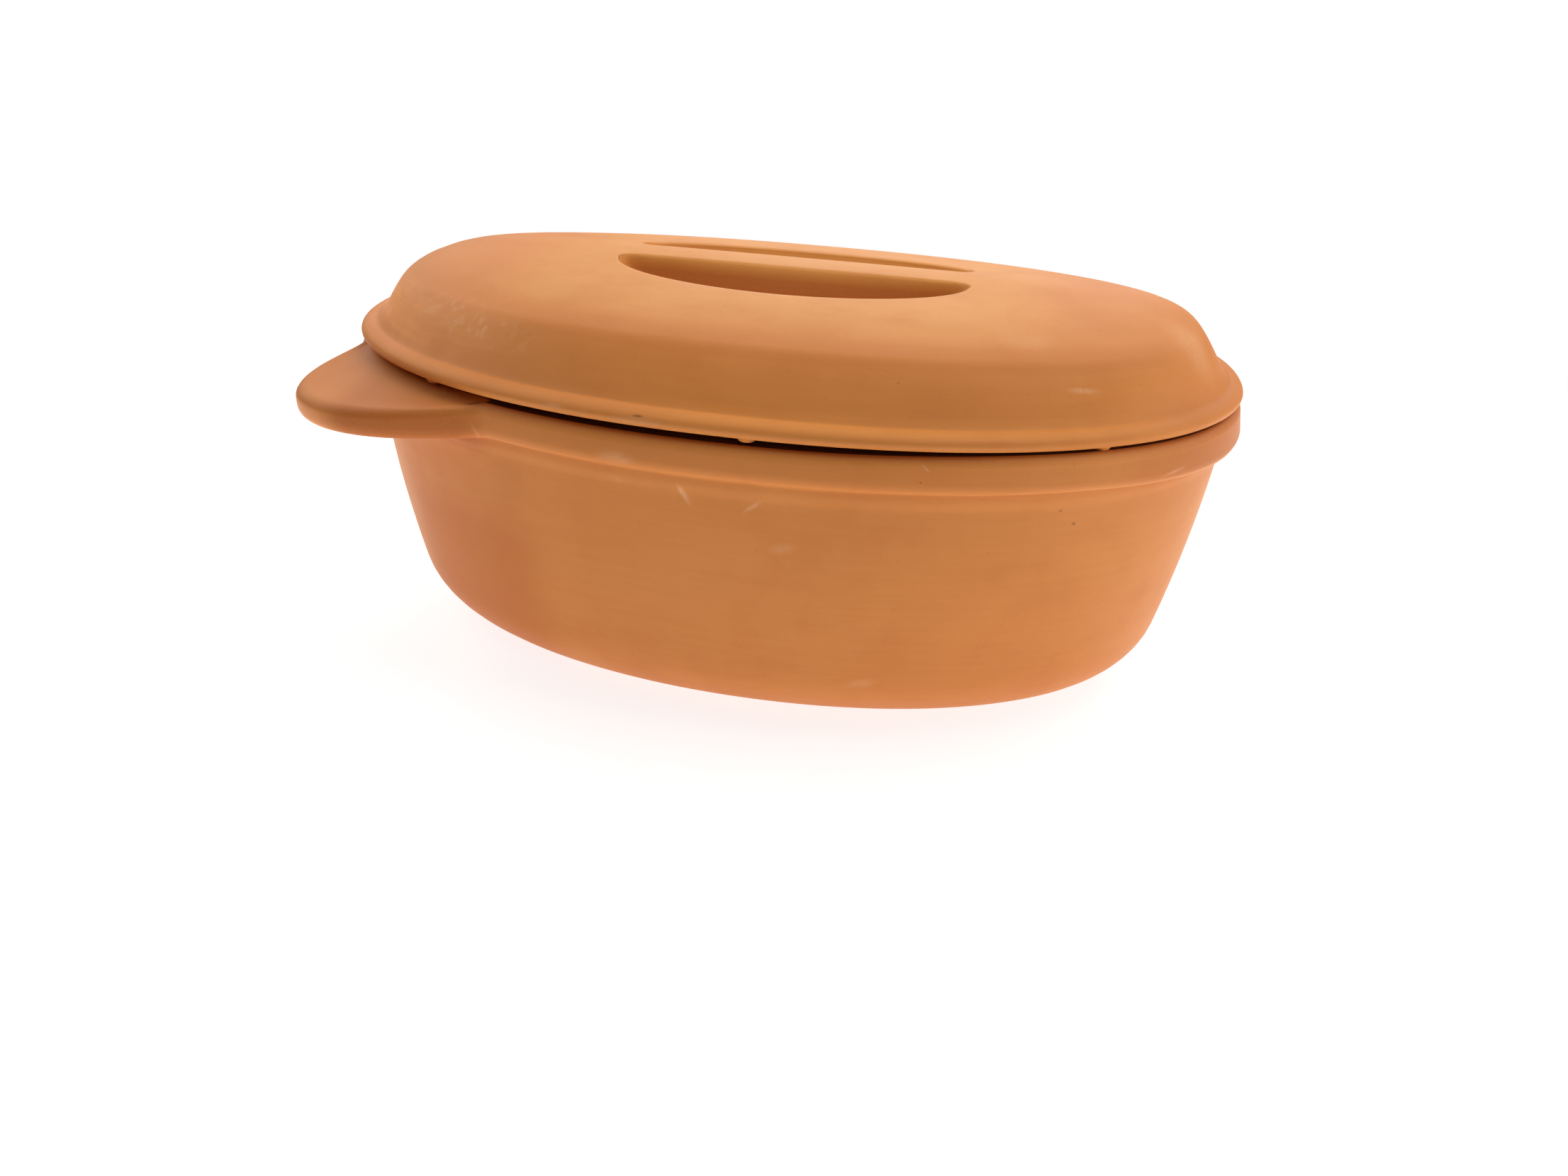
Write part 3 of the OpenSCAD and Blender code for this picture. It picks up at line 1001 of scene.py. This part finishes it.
class ShaderTree:
    """Builder of one node tree."""

    def __init__(self, tree: bpy.types.NodeTree) -> None:
        """Empty the tree."""
        self.tree = tree
        tree.nodes.clear()

    def node(
        self,
        kind: str,
        settings: dict[str, object] | None = None,
        inputs: dict[int | str, "Wire | float | tuple[float, ...]"] | None = None,
        output: int | str = 0,
    ) -> Wire:
        """Add a node.

        Args:
            kind: the node's type.
            settings: properties that are set first.
            inputs: a value or a link for each socket named.
            output: the output that is handed back.

        Returns:
            The wire from that output.
        """
        made = self.tree.nodes.new(kind)
        for name, value in (settings or {}).items():
            setattr(made, name, value)
        for name, value in (inputs or {}).items():
            if isinstance(value, Wire):
                self.tree.links.new(value.socket, made.inputs[name])
            else:
                made.inputs[name].default_value = value
        return Wire(self, made.outputs[output]) if made.outputs else Wire(self, made.inputs[0])

    def step(self, value: Wire, low: float, high: float) -> Wire:
        """Smooth step of a value from 0 at low to 1 at high."""
        return self.node("ShaderNodeMapRange", {"interpolation_type": "SMOOTHSTEP"}, {
            "Value": value, "From Min": low, "From Max": high, "To Min": 0.0, "To Max": 1.0,
        })

    def blend(self, share: Wire | float, first: Wire | Colour, second: Wire | Colour) -> Wire:
        """Mix two colours.

        Args:
            share: how much of the second colour.
            first: the colour at share 0.
            second: the colour at share 1.

        Returns:
            The mixed colour.
        """
        def full(colour: Wire | Colour) -> Wire | tuple[float, ...]:
            """Colour with its alpha where it is a plain one."""
            return colour if isinstance(colour, Wire) else (*colour, 1.0)
        settings = {"data_type": "RGBA", "blend_type": "MIX", "clamp_factor": True}
        return self.node("ShaderNodeMix", settings, {0: share, 6: full(first), 7: full(second)}, 2)

    def stretched(self, place: Wire, scale: Place) -> Wire:
        """Place with its axes scaled."""
        return self.node("ShaderNodeVectorMath", {"operation": "MULTIPLY"}, {0: place, 1: scale})

    def part(self, place: Wire, axis: str) -> Wire:
        """One axis of a place."""
        return self.node("ShaderNodeSeparateXYZ", None, {0: place}, axis)


@dataclass(frozen=True)
class Noise:
    """Noise with features of one size in millimetres, and the step that makes it a mask."""

    size: float
    detail: float
    rough: float
    low: float
    high: float
    strength: float = 1.0

    def wire(self, tree: ShaderTree, place: Wire) -> Wire:
        """Noise between 0 and 1."""
        return tree.node("ShaderNodeTexNoise", None, {
            "Vector": place, "Scale": 1.0 / (self.size * MM), "Detail": self.detail,
            "Roughness": self.rough,
        }, "Fac")

    def mask(self, tree: ShaderTree, noise: Wire) -> Wire:
        """Share that rises with the noise, up to the strength."""
        return self.strength * tree.step(noise, self.low, self.high)


@dataclass(frozen=True)
class Mark:
    """One worn, rubbed or chipped place on the clay, in millimetres."""

    centre: Place
    along: Place
    half_length: float
    half_width: float
    strength: float
    facing: Place = (0.3, -1.0, 0.2)
    least_depth: float = 6.0
    core: float = 0.15

    def mask(self, tree: ShaderTree, place: Wire) -> Wire:
        """Share of the mark at each point, from 0 outside it.

        Args:
            tree: the material's tree.
            place: the point's place in metres.

        Returns:
            The mark's mask.
        """
        forward = Vector(self.along).normalized()
        across = forward.cross(Vector(self.facing)).normalized()
        turned = Matrix((forward, across, forward.cross(across))).transposed().to_euler()
        size = (self.half_length, self.half_width, max(2.0 * self.half_width, self.least_depth))
        local = tree.node("ShaderNodeMapping", {"vector_type": "TEXTURE"}, {
            "Vector": place,
            "Location": tuple(value * MM for value in self.centre),
            "Rotation": tuple(turned),
            "Scale": tuple(value * MM for value in size),
        })
        far = tree.node("ShaderNodeVectorMath", {"operation": "LENGTH"}, {0: local}, "Value")
        return self.strength * tree.step(far, 1.0, self.core)


@dataclass(frozen=True)
class PaintedLightAndTone:
    """Broad stretch painted in another tone, in millimetres: most are painted light and painted shade,
    a few are darker tones of unknown cause.
    """

    tone: Colour
    strength: float
    centre: Place
    half: Place
    fade: Place

    def mask(self, tree: ShaderTree, place: Wire) -> Wire:
        """Share of the tone at each point, full inside a box and fading out around it.

        Args:
            tree: the material's tree.
            place: the point's place in metres.

        Returns:
            The tone's mask.
        """
        centre = tuple(value * MM for value in self.centre)
        off = tree.node("ShaderNodeVectorMath", {"operation": "SUBTRACT"}, {0: place, 1: centre})
        off = tree.node("ShaderNodeVectorMath", {"operation": "ABSOLUTE"}, {0: off})
        share = self.strength
        for axis, half, fade in zip("XYZ", self.half, self.fade):
            share = share * tree.step(tree.part(off, axis), (half + fade) * MM, half * MM)
        return share


@dataclass(frozen=True)
class FingerMarks:
    """Short pale finger marks scattered over one worn stretch, in millimetres."""

    stretch: Mark
    size: float = 7.0
    squash: Place = (1.0, 1.0, 0.75)
    scatter: float = 0.9
    inner_edge: tuple[float, float] = (0.30, 0.46)
    outer_edge: tuple[float, float] = (0.66, 0.50)
    breaks: Noise = Noise(6.0, 2.0, 0.5, 0.42, 0.60)

    def mask(self, tree: ShaderTree, place: Wire) -> Wire:
        """Share of the marks at each point.

        Args:
            tree: the material's tree.
            place: the point's place in metres.

        Returns:
            The marks' mask, of broken rings.
        """
        far = tree.node("ShaderNodeTexVoronoi", {"feature": "F1"}, {
            "Vector": tree.stretched(place, self.squash), "Scale": 1.0 / (self.size * MM),
            "Randomness": self.scatter,
        }, "Distance")
        ring = tree.step(far, *self.inner_edge) * tree.step(far, *self.outer_edge)
        broken = self.breaks.mask(tree, self.breaks.wire(tree, place))
        return self.stretch.mask(tree, place) * ring * broken


@dataclass(frozen=True)
class SeatShade:
    """Level top of the rim, painted dark as the shade in the gap under the lid's flange, in
    millimetres.
    """

    height: float
    fade: float = 1.0
    upright: tuple[float, float] = (0.972, 0.993)
    # painted shade: dark tone that stands in for the shadow in the gap between rim and lid
    tone: Colour = linear(76, 46, 32)

    def mask(self, tree: ShaderTree, place: Wire) -> Wire:
        """Share of the painted gap shade at each point.

        Args:
            tree: the material's tree.
            place: the point's place in metres.

        Returns:
            The mask of the faces at this height that look straight up.
        """
        up = tree.part(tree.node("ShaderNodeTexCoord", None, None, "Normal"), "Z")
        high = tree.step(tree.part(place, "Z"), (self.height - self.fade) * MM, self.height * MM)
        return tree.step(up, *self.upright) * high


ANY = 999.0
LID_PAINTED_LIGHT_AND_TONES = (
    # paler left end of the dome: painted light from the left, partly a pale dusty bloom
    PaintedLightAndTone(linear(243, 162, 98), 1.0, (-200.0, 0.0, 150.0), (30.0, ANY, 4.0), (92.0, 1.0, 8.0)),
    # painted highlight: the crown is lighter and yellower above about z 160
    PaintedLightAndTone(linear(213, 141, 64), 1.0, (0.0, 0.0, 170.0), (85.0, ANY, 5.5), (40.0, 1.0, 5.0)),
    # painted shade: darker band round the dome just under the crown, z 157 to 160
    PaintedLightAndTone(linear(190, 108, 43), 0.3, (40.0, 0.0, 158.7), (90.0, ANY, 1.5), (40.0, 1.0, 2.5)),
    # painted shade inside the front finger scoop
    PaintedLightAndTone(linear(172, 92, 36), 0.6, (0.0, -32.0, 148.0), (68.0, 17.5, 16.0), (6.0, 2.5, 3.2)),
    # painted shade on the ridge's front wall, deep in the scoop
    PaintedLightAndTone(linear(172, 90, 38), 0.2, (0.0, -19.0, 160.0), (64.0, 7.0, 6.0), (5.0, 2.0, 2.5)),
    # darker tone over the dome's right end
    PaintedLightAndTone(linear(190, 108, 43), 0.3, (200.0, 0.0, 148.0), (30.0, ANY, 8.0), (30.0, 1.0, 4.0)),
    # paler lower edge of the front flange: partly dust, partly painted light bounced up from the table
    PaintedLightAndTone(linear(226, 168, 118), 0.1, (20.0, -130.0, 135.8), (90.0, 40.0, 1.5), (40.0, 20.0, 1.5)),
    # painted highlight along the top of the front flange's bead
    PaintedLightAndTone(linear(215, 136, 60), 0.7, (60.0, -130.0, 141.0), (70.0, 40.0, 1.3), (30.0, 20.0, 1.7)),
)
POT_PAINTED_LIGHT_AND_TONES = (
    # painted shade: the whole rim band a little darker, z 120.5 to 128.5
    PaintedLightAndTone(linear(172, 92, 36), 0.16, (0.0, 0.0, 124.5), (ANY, ANY, 4.0), (1.0, 1.0, 1.0)),
    # darker tone over the band at the right end
    PaintedLightAndTone(linear(172, 92, 36), 0.52, (200.0, 0.0, 127.0), (30.0, ANY, 6.0), (40.0, 1.0, 2.0)),
    # painted shade on the front-left handle's side and the band beside it
    PaintedLightAndTone(linear(172, 92, 36), 0.75, (-125.0, -100.0, 119.0), (20.0, 60.0, 6.0), (16.0, 60.0, 6.0)),
    # painted shadow on the wall under the front-left handle
    PaintedLightAndTone(linear(172, 92, 36), 0.3, (-190.0, -100.0, 108.0), (35.0, 60.0, 3.0), (15.0, 60.0, 10.0)),
    # darker tone low on the front-left wall
    PaintedLightAndTone(linear(190, 106, 43), 0.7, (-120.0, -90.0, 40.0), (25.0, 60.0, 30.0), (30.0, 60.0, 25.0)),
    # paler left end of the wall: painted light from the left
    PaintedLightAndTone(linear(222, 153, 92), 0.45, (-200.0, 0.0, 60.0), (38.0, ANY, 30.0), (25.0, 1.0, 25.0)),
    # painted light on the left end of the front-left handle's side
    PaintedLightAndTone(linear(226, 146, 86), 0.8, (-185.0, -115.0, 118.5), (18.0, 15.0, 3.5), (18.0, 15.0, 2.0)),
)
POT_SMEARS = (
    Mark((-14.0, -130.8, 110.6), (5.4, 0.0, -8.6), 6.5, 1.5, 0.75),
    Mark((11.2, -130.7, 108.5), (8.5, 0.0, 6.8), 5.5, 1.3, 0.6),
    Mark((22.4, -127.6, 92.5), (1.0, 0.0, 0.3), 7.0, 3.0, 0.3),
    Mark((53.4, -108.5, 30.3), (1.0, 0.0, 0.2), 9.0, 3.5, 0.3),
    Mark((-40.0, -131.5, 113.0), (1.0, 0.0, -0.1), 6.0, 2.4, 0.22),
    Mark((-38.0, -134.2, 122.5), (1.0, 0.0, 0.0), 10.0, 3.4, 0.4),
    Mark((158.0, -80.5, 122.0), (8.6, 8.5, 1.9), 9.0, 1.1, 0.45),
    Mark((-97.0, -119.5, 121.0), (1.0, -1.4, -0.9), 8.0, 1.0, 0.3),
    Mark((70.5, -128.4, 129.6), (1.0, 0.0, -0.9), 3.2, 0.6, 0.6),
)
POT_PITS = (
    Mark((124.9, -97.1, 103.5), (1.0, 0.0, 0.0), 1.1, 0.8, 0.7),
    Mark((119.3, -101.4, 109.5), (1.0, 0.0, 0.0), 0.8, 0.6, 0.6),
    Mark((69.5, -129.8, 124.4), (1.0, 0.0, 0.0), 0.7, 0.5, 0.6),
)
LID_SMEARS = (
    Mark((122.3, -92.1, 151.7), (9.4, 4.6, -0.7), 11.0, 1.7, 0.9),
    Mark((99.0, -73.0, 162.6), (1.0, 0.5, 0.0), 15.0, 6.0, 0.15),
    Mark((163.0, -36.0, 159.0), (-0.4, 1.0, 0.0), 22.0, 12.0, 0.36),
    Mark((-62.6, -129.6, 137.5), (1.0, 0.1, 0.0), 5.5, 1.2, 0.45),
    Mark((-30.0, -134.5, 137.0), (1.0, 0.0, 0.0), 14.0, 2.0, 0.3),
)
LID_PITS = (
    Mark((-29.8, -134.0, 138.6), (1.0, 0.0, 0.0), 2.6, 0.6, 0.75),
    Mark((57.0, -111.0, 153.0), (1.0, 0.0, 0.0), 0.9, 0.5, 0.5),
)
LID_FINGER_MARKS = FingerMarks(Mark((-113.0, -89.0, 154.5), (68.4, -41.5, -2.5), 52.0, 11.0, 0.36))


@dataclass(frozen=True)
class FiredClay:
    """Unglazed fired clay with grain, turning streaks, paler blooms and small marks, plus boxes of
    painted light and painted shade, painted shade in the pits and, where set, on the rim's seat.
    """

    name: str
    deep: Colour
    body: Colour
    pale: Colour
    smear: Colour
    smears: tuple[Mark, ...]
    pits: tuple[Mark, ...]
    painted_light_and_tones: tuple[PaintedLightAndTone, ...]
    seed: Place
    finger_marks: FingerMarks | None = None
    seat: SeatShade | None = None
    bloom: Noise = Noise(95.0, 2.0, 0.45, 0.3, 0.7)
    patch: Noise = Noise(26.0, 4.0, 0.55, 0.4, 0.75, 0.28)
    streak: Noise = Noise(7.0, 4.0, 0.6, 0.35, 0.7, 0.14)
    streak_scale: Place = (0.16, 0.16, 2.6)
    grain: Noise = Noise(1.1, 3.0, 0.6, 0.45, 0.7, 0.12)
    fine: Noise = Noise(0.45, 2.0, 0.6, 0.55, 0.75, 0.14)
    speck: Noise = Noise(2.3, 1.0, 0.4, 0.70, 0.78)
    speck_strength: float = 0.22
    wear: Noise = Noise(1.6, 3.0, 0.6, 0.3, 0.62, 0.45)
    least_wear: float = 0.55
    pit_shade: float = 0.35
    roughness: float = 0.46
    patch_rough: float = 0.10
    grain_rough: float = 0.06
    specular: float = 0.17
    grain_relief: float = 0.5
    fine_relief: float = 0.25
    streak_relief: float = 0.9
    pit_relief: float = 1.2
    speck_relief: float = 0.3
    bump_strength: float = 0.35
    bump_depth: float = 0.22

    @staticmethod
    def gather(tree: ShaderTree, place: Wire, marks: tuple[Mark, ...]) -> Wire:
        """Add up the masks of several marks.

        Args:
            tree: the material's tree.
            place: the point's place in metres.
            marks: the marks, at least one.

        Returns:
            The sum of their masks.
        """
        total = marks[0].mask(tree, place)
        for mark in marks[1:]:
            total = total + mark.mask(tree, place)
        return total

    def make(self) -> bpy.types.Material:
        """Make the material.

        Returns:
            The clay as a node material.
        """
        material = bpy.data.materials.new(self.name)
        material.use_nodes = True
        tree = ShaderTree(material.node_tree)
        spot = tree.node("ShaderNodeTexCoord", None, None, "Object")
        place = tree.node("ShaderNodeVectorMath", {"operation": "ADD"}, {0: spot, 1: self.seed})
        patch, grain = self.patch.wire(tree, place), self.grain.wire(tree, place)
        fine = self.fine.wire(tree, place)
        streak = self.streak.wire(tree, tree.stretched(place, self.streak_scale))
        speck = self.speck.mask(tree, self.speck.wire(tree, place))
        bloom = self.bloom.mask(tree, self.bloom.wire(tree, place))
        colour = tree.blend(bloom, self.body, self.pale)
        # boxes of painted light, painted shade and a few plain darker tones
        for painted_box in self.painted_light_and_tones:
            colour = tree.blend(painted_box.mask(tree, spot), colour, painted_box.tone)
        colour = tree.blend(self.patch.mask(tree, patch), colour, self.deep)
        colour = tree.blend(self.streak.mask(tree, streak), colour, self.deep)
        colour = tree.blend(self.grain.mask(tree, grain), colour, self.pale)
        colour = tree.blend(self.fine.mask(tree, fine), colour, self.deep)
        colour = tree.blend(self.speck_strength * speck, colour, self.deep)
        worn = self.least_wear + self.wear.mask(tree, self.wear.wire(tree, place))
        colour = tree.blend(self.gather(tree, spot, self.smears) * worn, colour, self.smear)
        if self.finger_marks is not None:
            colour = tree.blend(self.finger_marks.mask(tree, spot), colour, self.smear)
        # painted shade on the rim's level top, in the gap under the lid
        if self.seat is not None:
            colour = tree.blend(self.seat.mask(tree, spot), colour, self.seat.tone)
        # the pits' dark tone is painted shade in each small hollow
        chipped = self.gather(tree, spot, self.pits)
        colour = tree.blend(chipped, colour, tuple(self.pit_shade * value for value in self.deep))
        rough = self.roughness + self.patch_rough * patch + self.grain_rough * grain
        height = self.grain_relief * grain + self.fine_relief * fine + self.streak_relief * streak
        height = height - self.pit_relief * chipped - self.speck_relief * speck
        bump = tree.node("ShaderNodeBump", None, {
            "Strength": self.bump_strength, "Distance": self.bump_depth * MM, "Height": height,
        })
        shader = tree.node("ShaderNodeBsdfPrincipled", None, {
            "Base Color": colour, "Roughness": rough, "Specular IOR Level": self.specular,
            "Normal": bump,
        })
        tree.node("ShaderNodeOutputMaterial", None, {"Surface": shader})
        return material


POT_CLAY = FiredClay(
    "pot_clay", linear(191, 109, 49), linear(205, 128, 62), linear(208, 132, 66), linear(226, 166, 118),
    POT_SMEARS, POT_PITS, POT_PAINTED_LIGHT_AND_TONES, seed=(0.31, 0.17, 0.05), seat=SeatShade(131.0),
)
LID_CLAY = FiredClay(
    "lid_clay", linear(191, 109, 45), linear(205, 126, 56), linear(209, 130, 60), linear(226, 168, 118),
    LID_SMEARS, LID_PITS, LID_PAINTED_LIGHT_AND_TONES, seed=(0.11, 0.43, 0.29), finger_marks=LID_FINGER_MARKS,
)


@dataclass(frozen=True)
class Lamp:
    """One soft lamp, in metres and watts."""

    name: str
    place: Place
    power: float
    width: float = 1.0
    depth: float = 1.0
    aim: Place = (0.0, 0.0, 0.1)

    def build(self) -> None:
        """Hang the lamp and aim it."""
        light = bpy.data.lights.new(self.name, "AREA")
        light.shape, light.size, light.size_y = "RECTANGLE", self.width, self.depth
        light.energy = self.power
        lamp = bpy.data.objects.new(self.name, light)
        lamp.location = self.place
        towards = Vector(self.aim) - Vector(self.place)
        lamp.rotation_euler = towards.to_track_quat("-Z", "Y").to_euler()
        lamp.visible_camera = False
        bpy.context.scene.collection.objects.link(lamp)


@dataclass
class Studio:
    """White table, soft lamps and the camera, in metres and radians."""

    yaw: float = -0.1708
    pitch: float = 0.45533
    roll: float = -0.05501
    eye: Place = (0.08996, -0.51099, 0.26744)
    lens: float = 27.094
    sensor: float = 36.0
    nearest: float = 0.01
    farthest: float = 50.0
    table_reach: float = 12.0
    table_grey: float = 0.9
    shadow_grey: float = 0.34
    table_glow: float = 0.82
    plain_from: float = 0.35
    plain_to: float = 0.9
    lamps: tuple[Lamp, ...] = (
        Lamp("top_panel", (0.0, 0.024, 1.5), 2.7),
        Lamp("back_panel", (0.0, 1.212, 0.80), 8.0),
        Lamp("back_left_panel", (-0.857, 0.857, 0.80), 5.4),
        Lamp("back_right_panel", (0.857, 0.857, 0.80), 4.2),
        Lamp("overhead_right", (0.592, 0.0, 1.369), 10.2),
        Lamp("right_panel", (1.331, 0.0, 0.533), 6.2, depth=0.6),
        Lamp("left_panel", (-1.072, 0.0, 1.0), 7.2),
        Lamp("table_bounce", (0.0, 0.0, 0.0005), 22.4, 3.2, 3.2, (0.0, 0.0, 1.0)),
    )

    def camera(self) -> None:
        """Set the camera where the photograph was taken."""
        cos_yaw, sin_yaw, cos_pitch = math.cos(self.yaw), math.sin(self.yaw), math.cos(self.pitch)
        ahead = Vector((sin_yaw * cos_pitch, cos_yaw * cos_pitch, -math.sin(self.pitch)))
        level = Vector((cos_yaw, -sin_yaw, 0.0))
        below = ahead.cross(level)
        cos_roll, sin_roll = math.cos(self.roll), math.sin(self.roll)
        right = level * cos_roll + below * sin_roll
        down = below * cos_roll - level * sin_roll
        lens = bpy.data.cameras.new("camera")
        lens.lens, lens.sensor_width, lens.sensor_fit = self.lens, self.sensor, "HORIZONTAL"
        lens.clip_start, lens.clip_end = self.nearest, self.farthest
        camera = bpy.data.objects.new("camera", lens)
        frame_axes = Matrix((right, -down, -ahead)).transposed().to_4x4()
        camera.matrix_world = Matrix.Translation(self.eye) @ frame_axes
        bpy.context.scene.collection.objects.link(camera)
        bpy.context.scene.camera = camera

    def world(self) -> None:
        """White surroundings that are seen and give no light."""
        world = bpy.data.worlds.new("studio")
        world.use_nodes = True
        bpy.context.scene.world = world
        tree = ShaderTree(world.node_tree)
        seen = tree.node("ShaderNodeLightPath", None, None, "Is Camera Ray")
        glow = tree.node("ShaderNodeBackground", None, {"Color": WHITE, "Strength": seen})
        tree.node("ShaderNodeOutputWorld", None, {"Surface": glow})

    def table(self) -> None:
        """White table that keeps a faint shadow of the roaster."""
        mesh = bpy.data.meshes.new("table")
        signs = ((-1.0, -1.0), (1.0, -1.0), (1.0, 1.0), (-1.0, 1.0))
        corners = [(x * self.table_reach, y * self.table_reach, 0.0) for x, y in signs]
        mesh.from_pydata(corners, [], [(0, 1, 2, 3)])
        table = bpy.data.objects.new("table", mesh)
        bpy.context.scene.collection.objects.link(table)
        material = bpy.data.materials.new("white_table")
        material.use_nodes = True
        tree = ShaderTree(material.node_tree)
        seen = tree.node("ShaderNodeLightPath", None, None, "Is Camera Ray")
        plain = tree.node("ShaderNodeBsdfDiffuse", None, {"Color": (*[self.table_grey] * 3, 1.0)})
        faint = tree.node("ShaderNodeBsdfDiffuse", None, {"Color": (*[self.shadow_grey] * 3, 1.0)})
        glow = tree.node("ShaderNodeEmission", None, {"Color": WHITE, "Strength": self.table_glow})
        near = tree.node("ShaderNodeAddShader", None, {0: faint, 1: glow})
        white = tree.node("ShaderNodeEmission", None, {"Color": WHITE, "Strength": 1.0})
        spot = tree.node("ShaderNodeTexCoord", None, None, "Object")
        away = tree.node("ShaderNodeVectorMath", {"operation": "LENGTH"}, {0: spot}, "Value")
        far = tree.step(away, self.plain_from, self.plain_to)
        bright = tree.node("ShaderNodeMixShader", None, {0: far, 1: near, 2: white})
        shown = tree.node("ShaderNodeMixShader", None, {0: seen, 1: plain, 2: bright})
        tree.node("ShaderNodeOutputMaterial", None, {"Surface": shown})
        mesh.materials.append(material)

    def build(self) -> None:
        """Set up the camera, the surroundings, the table and the lamps."""
        self.camera()
        self.world()
        self.table()
        for lamp in self.lamps:
            lamp.build()
        bpy.context.scene.view_settings.view_transform = "Standard"


def main() -> None:
    """Build the studio, the pot and the lid, and log their face counts."""
    logging.basicConfig(level=logging.INFO, format="%(name)s: %(message)s")
    Studio().build()
    LOG.info("studio is set")
    rim = Rim()
    pot = Pot(rim, LedgeHandles())
    pot_piece = pot.build()
    pot.dress(pot_piece, POT_CLAY.make())
    LOG.info("pot has %d faces", len(pot_piece.data.polygons))
    lid = Lid(rim, Grip(), Feet())
    lid_piece = lid.build()
    lid.dress(lid_piece, LID_CLAY.make())
    LOG.info("lid has %d faces", len(lid_piece.data.polygons))


if __name__ == "__main__":
    main()
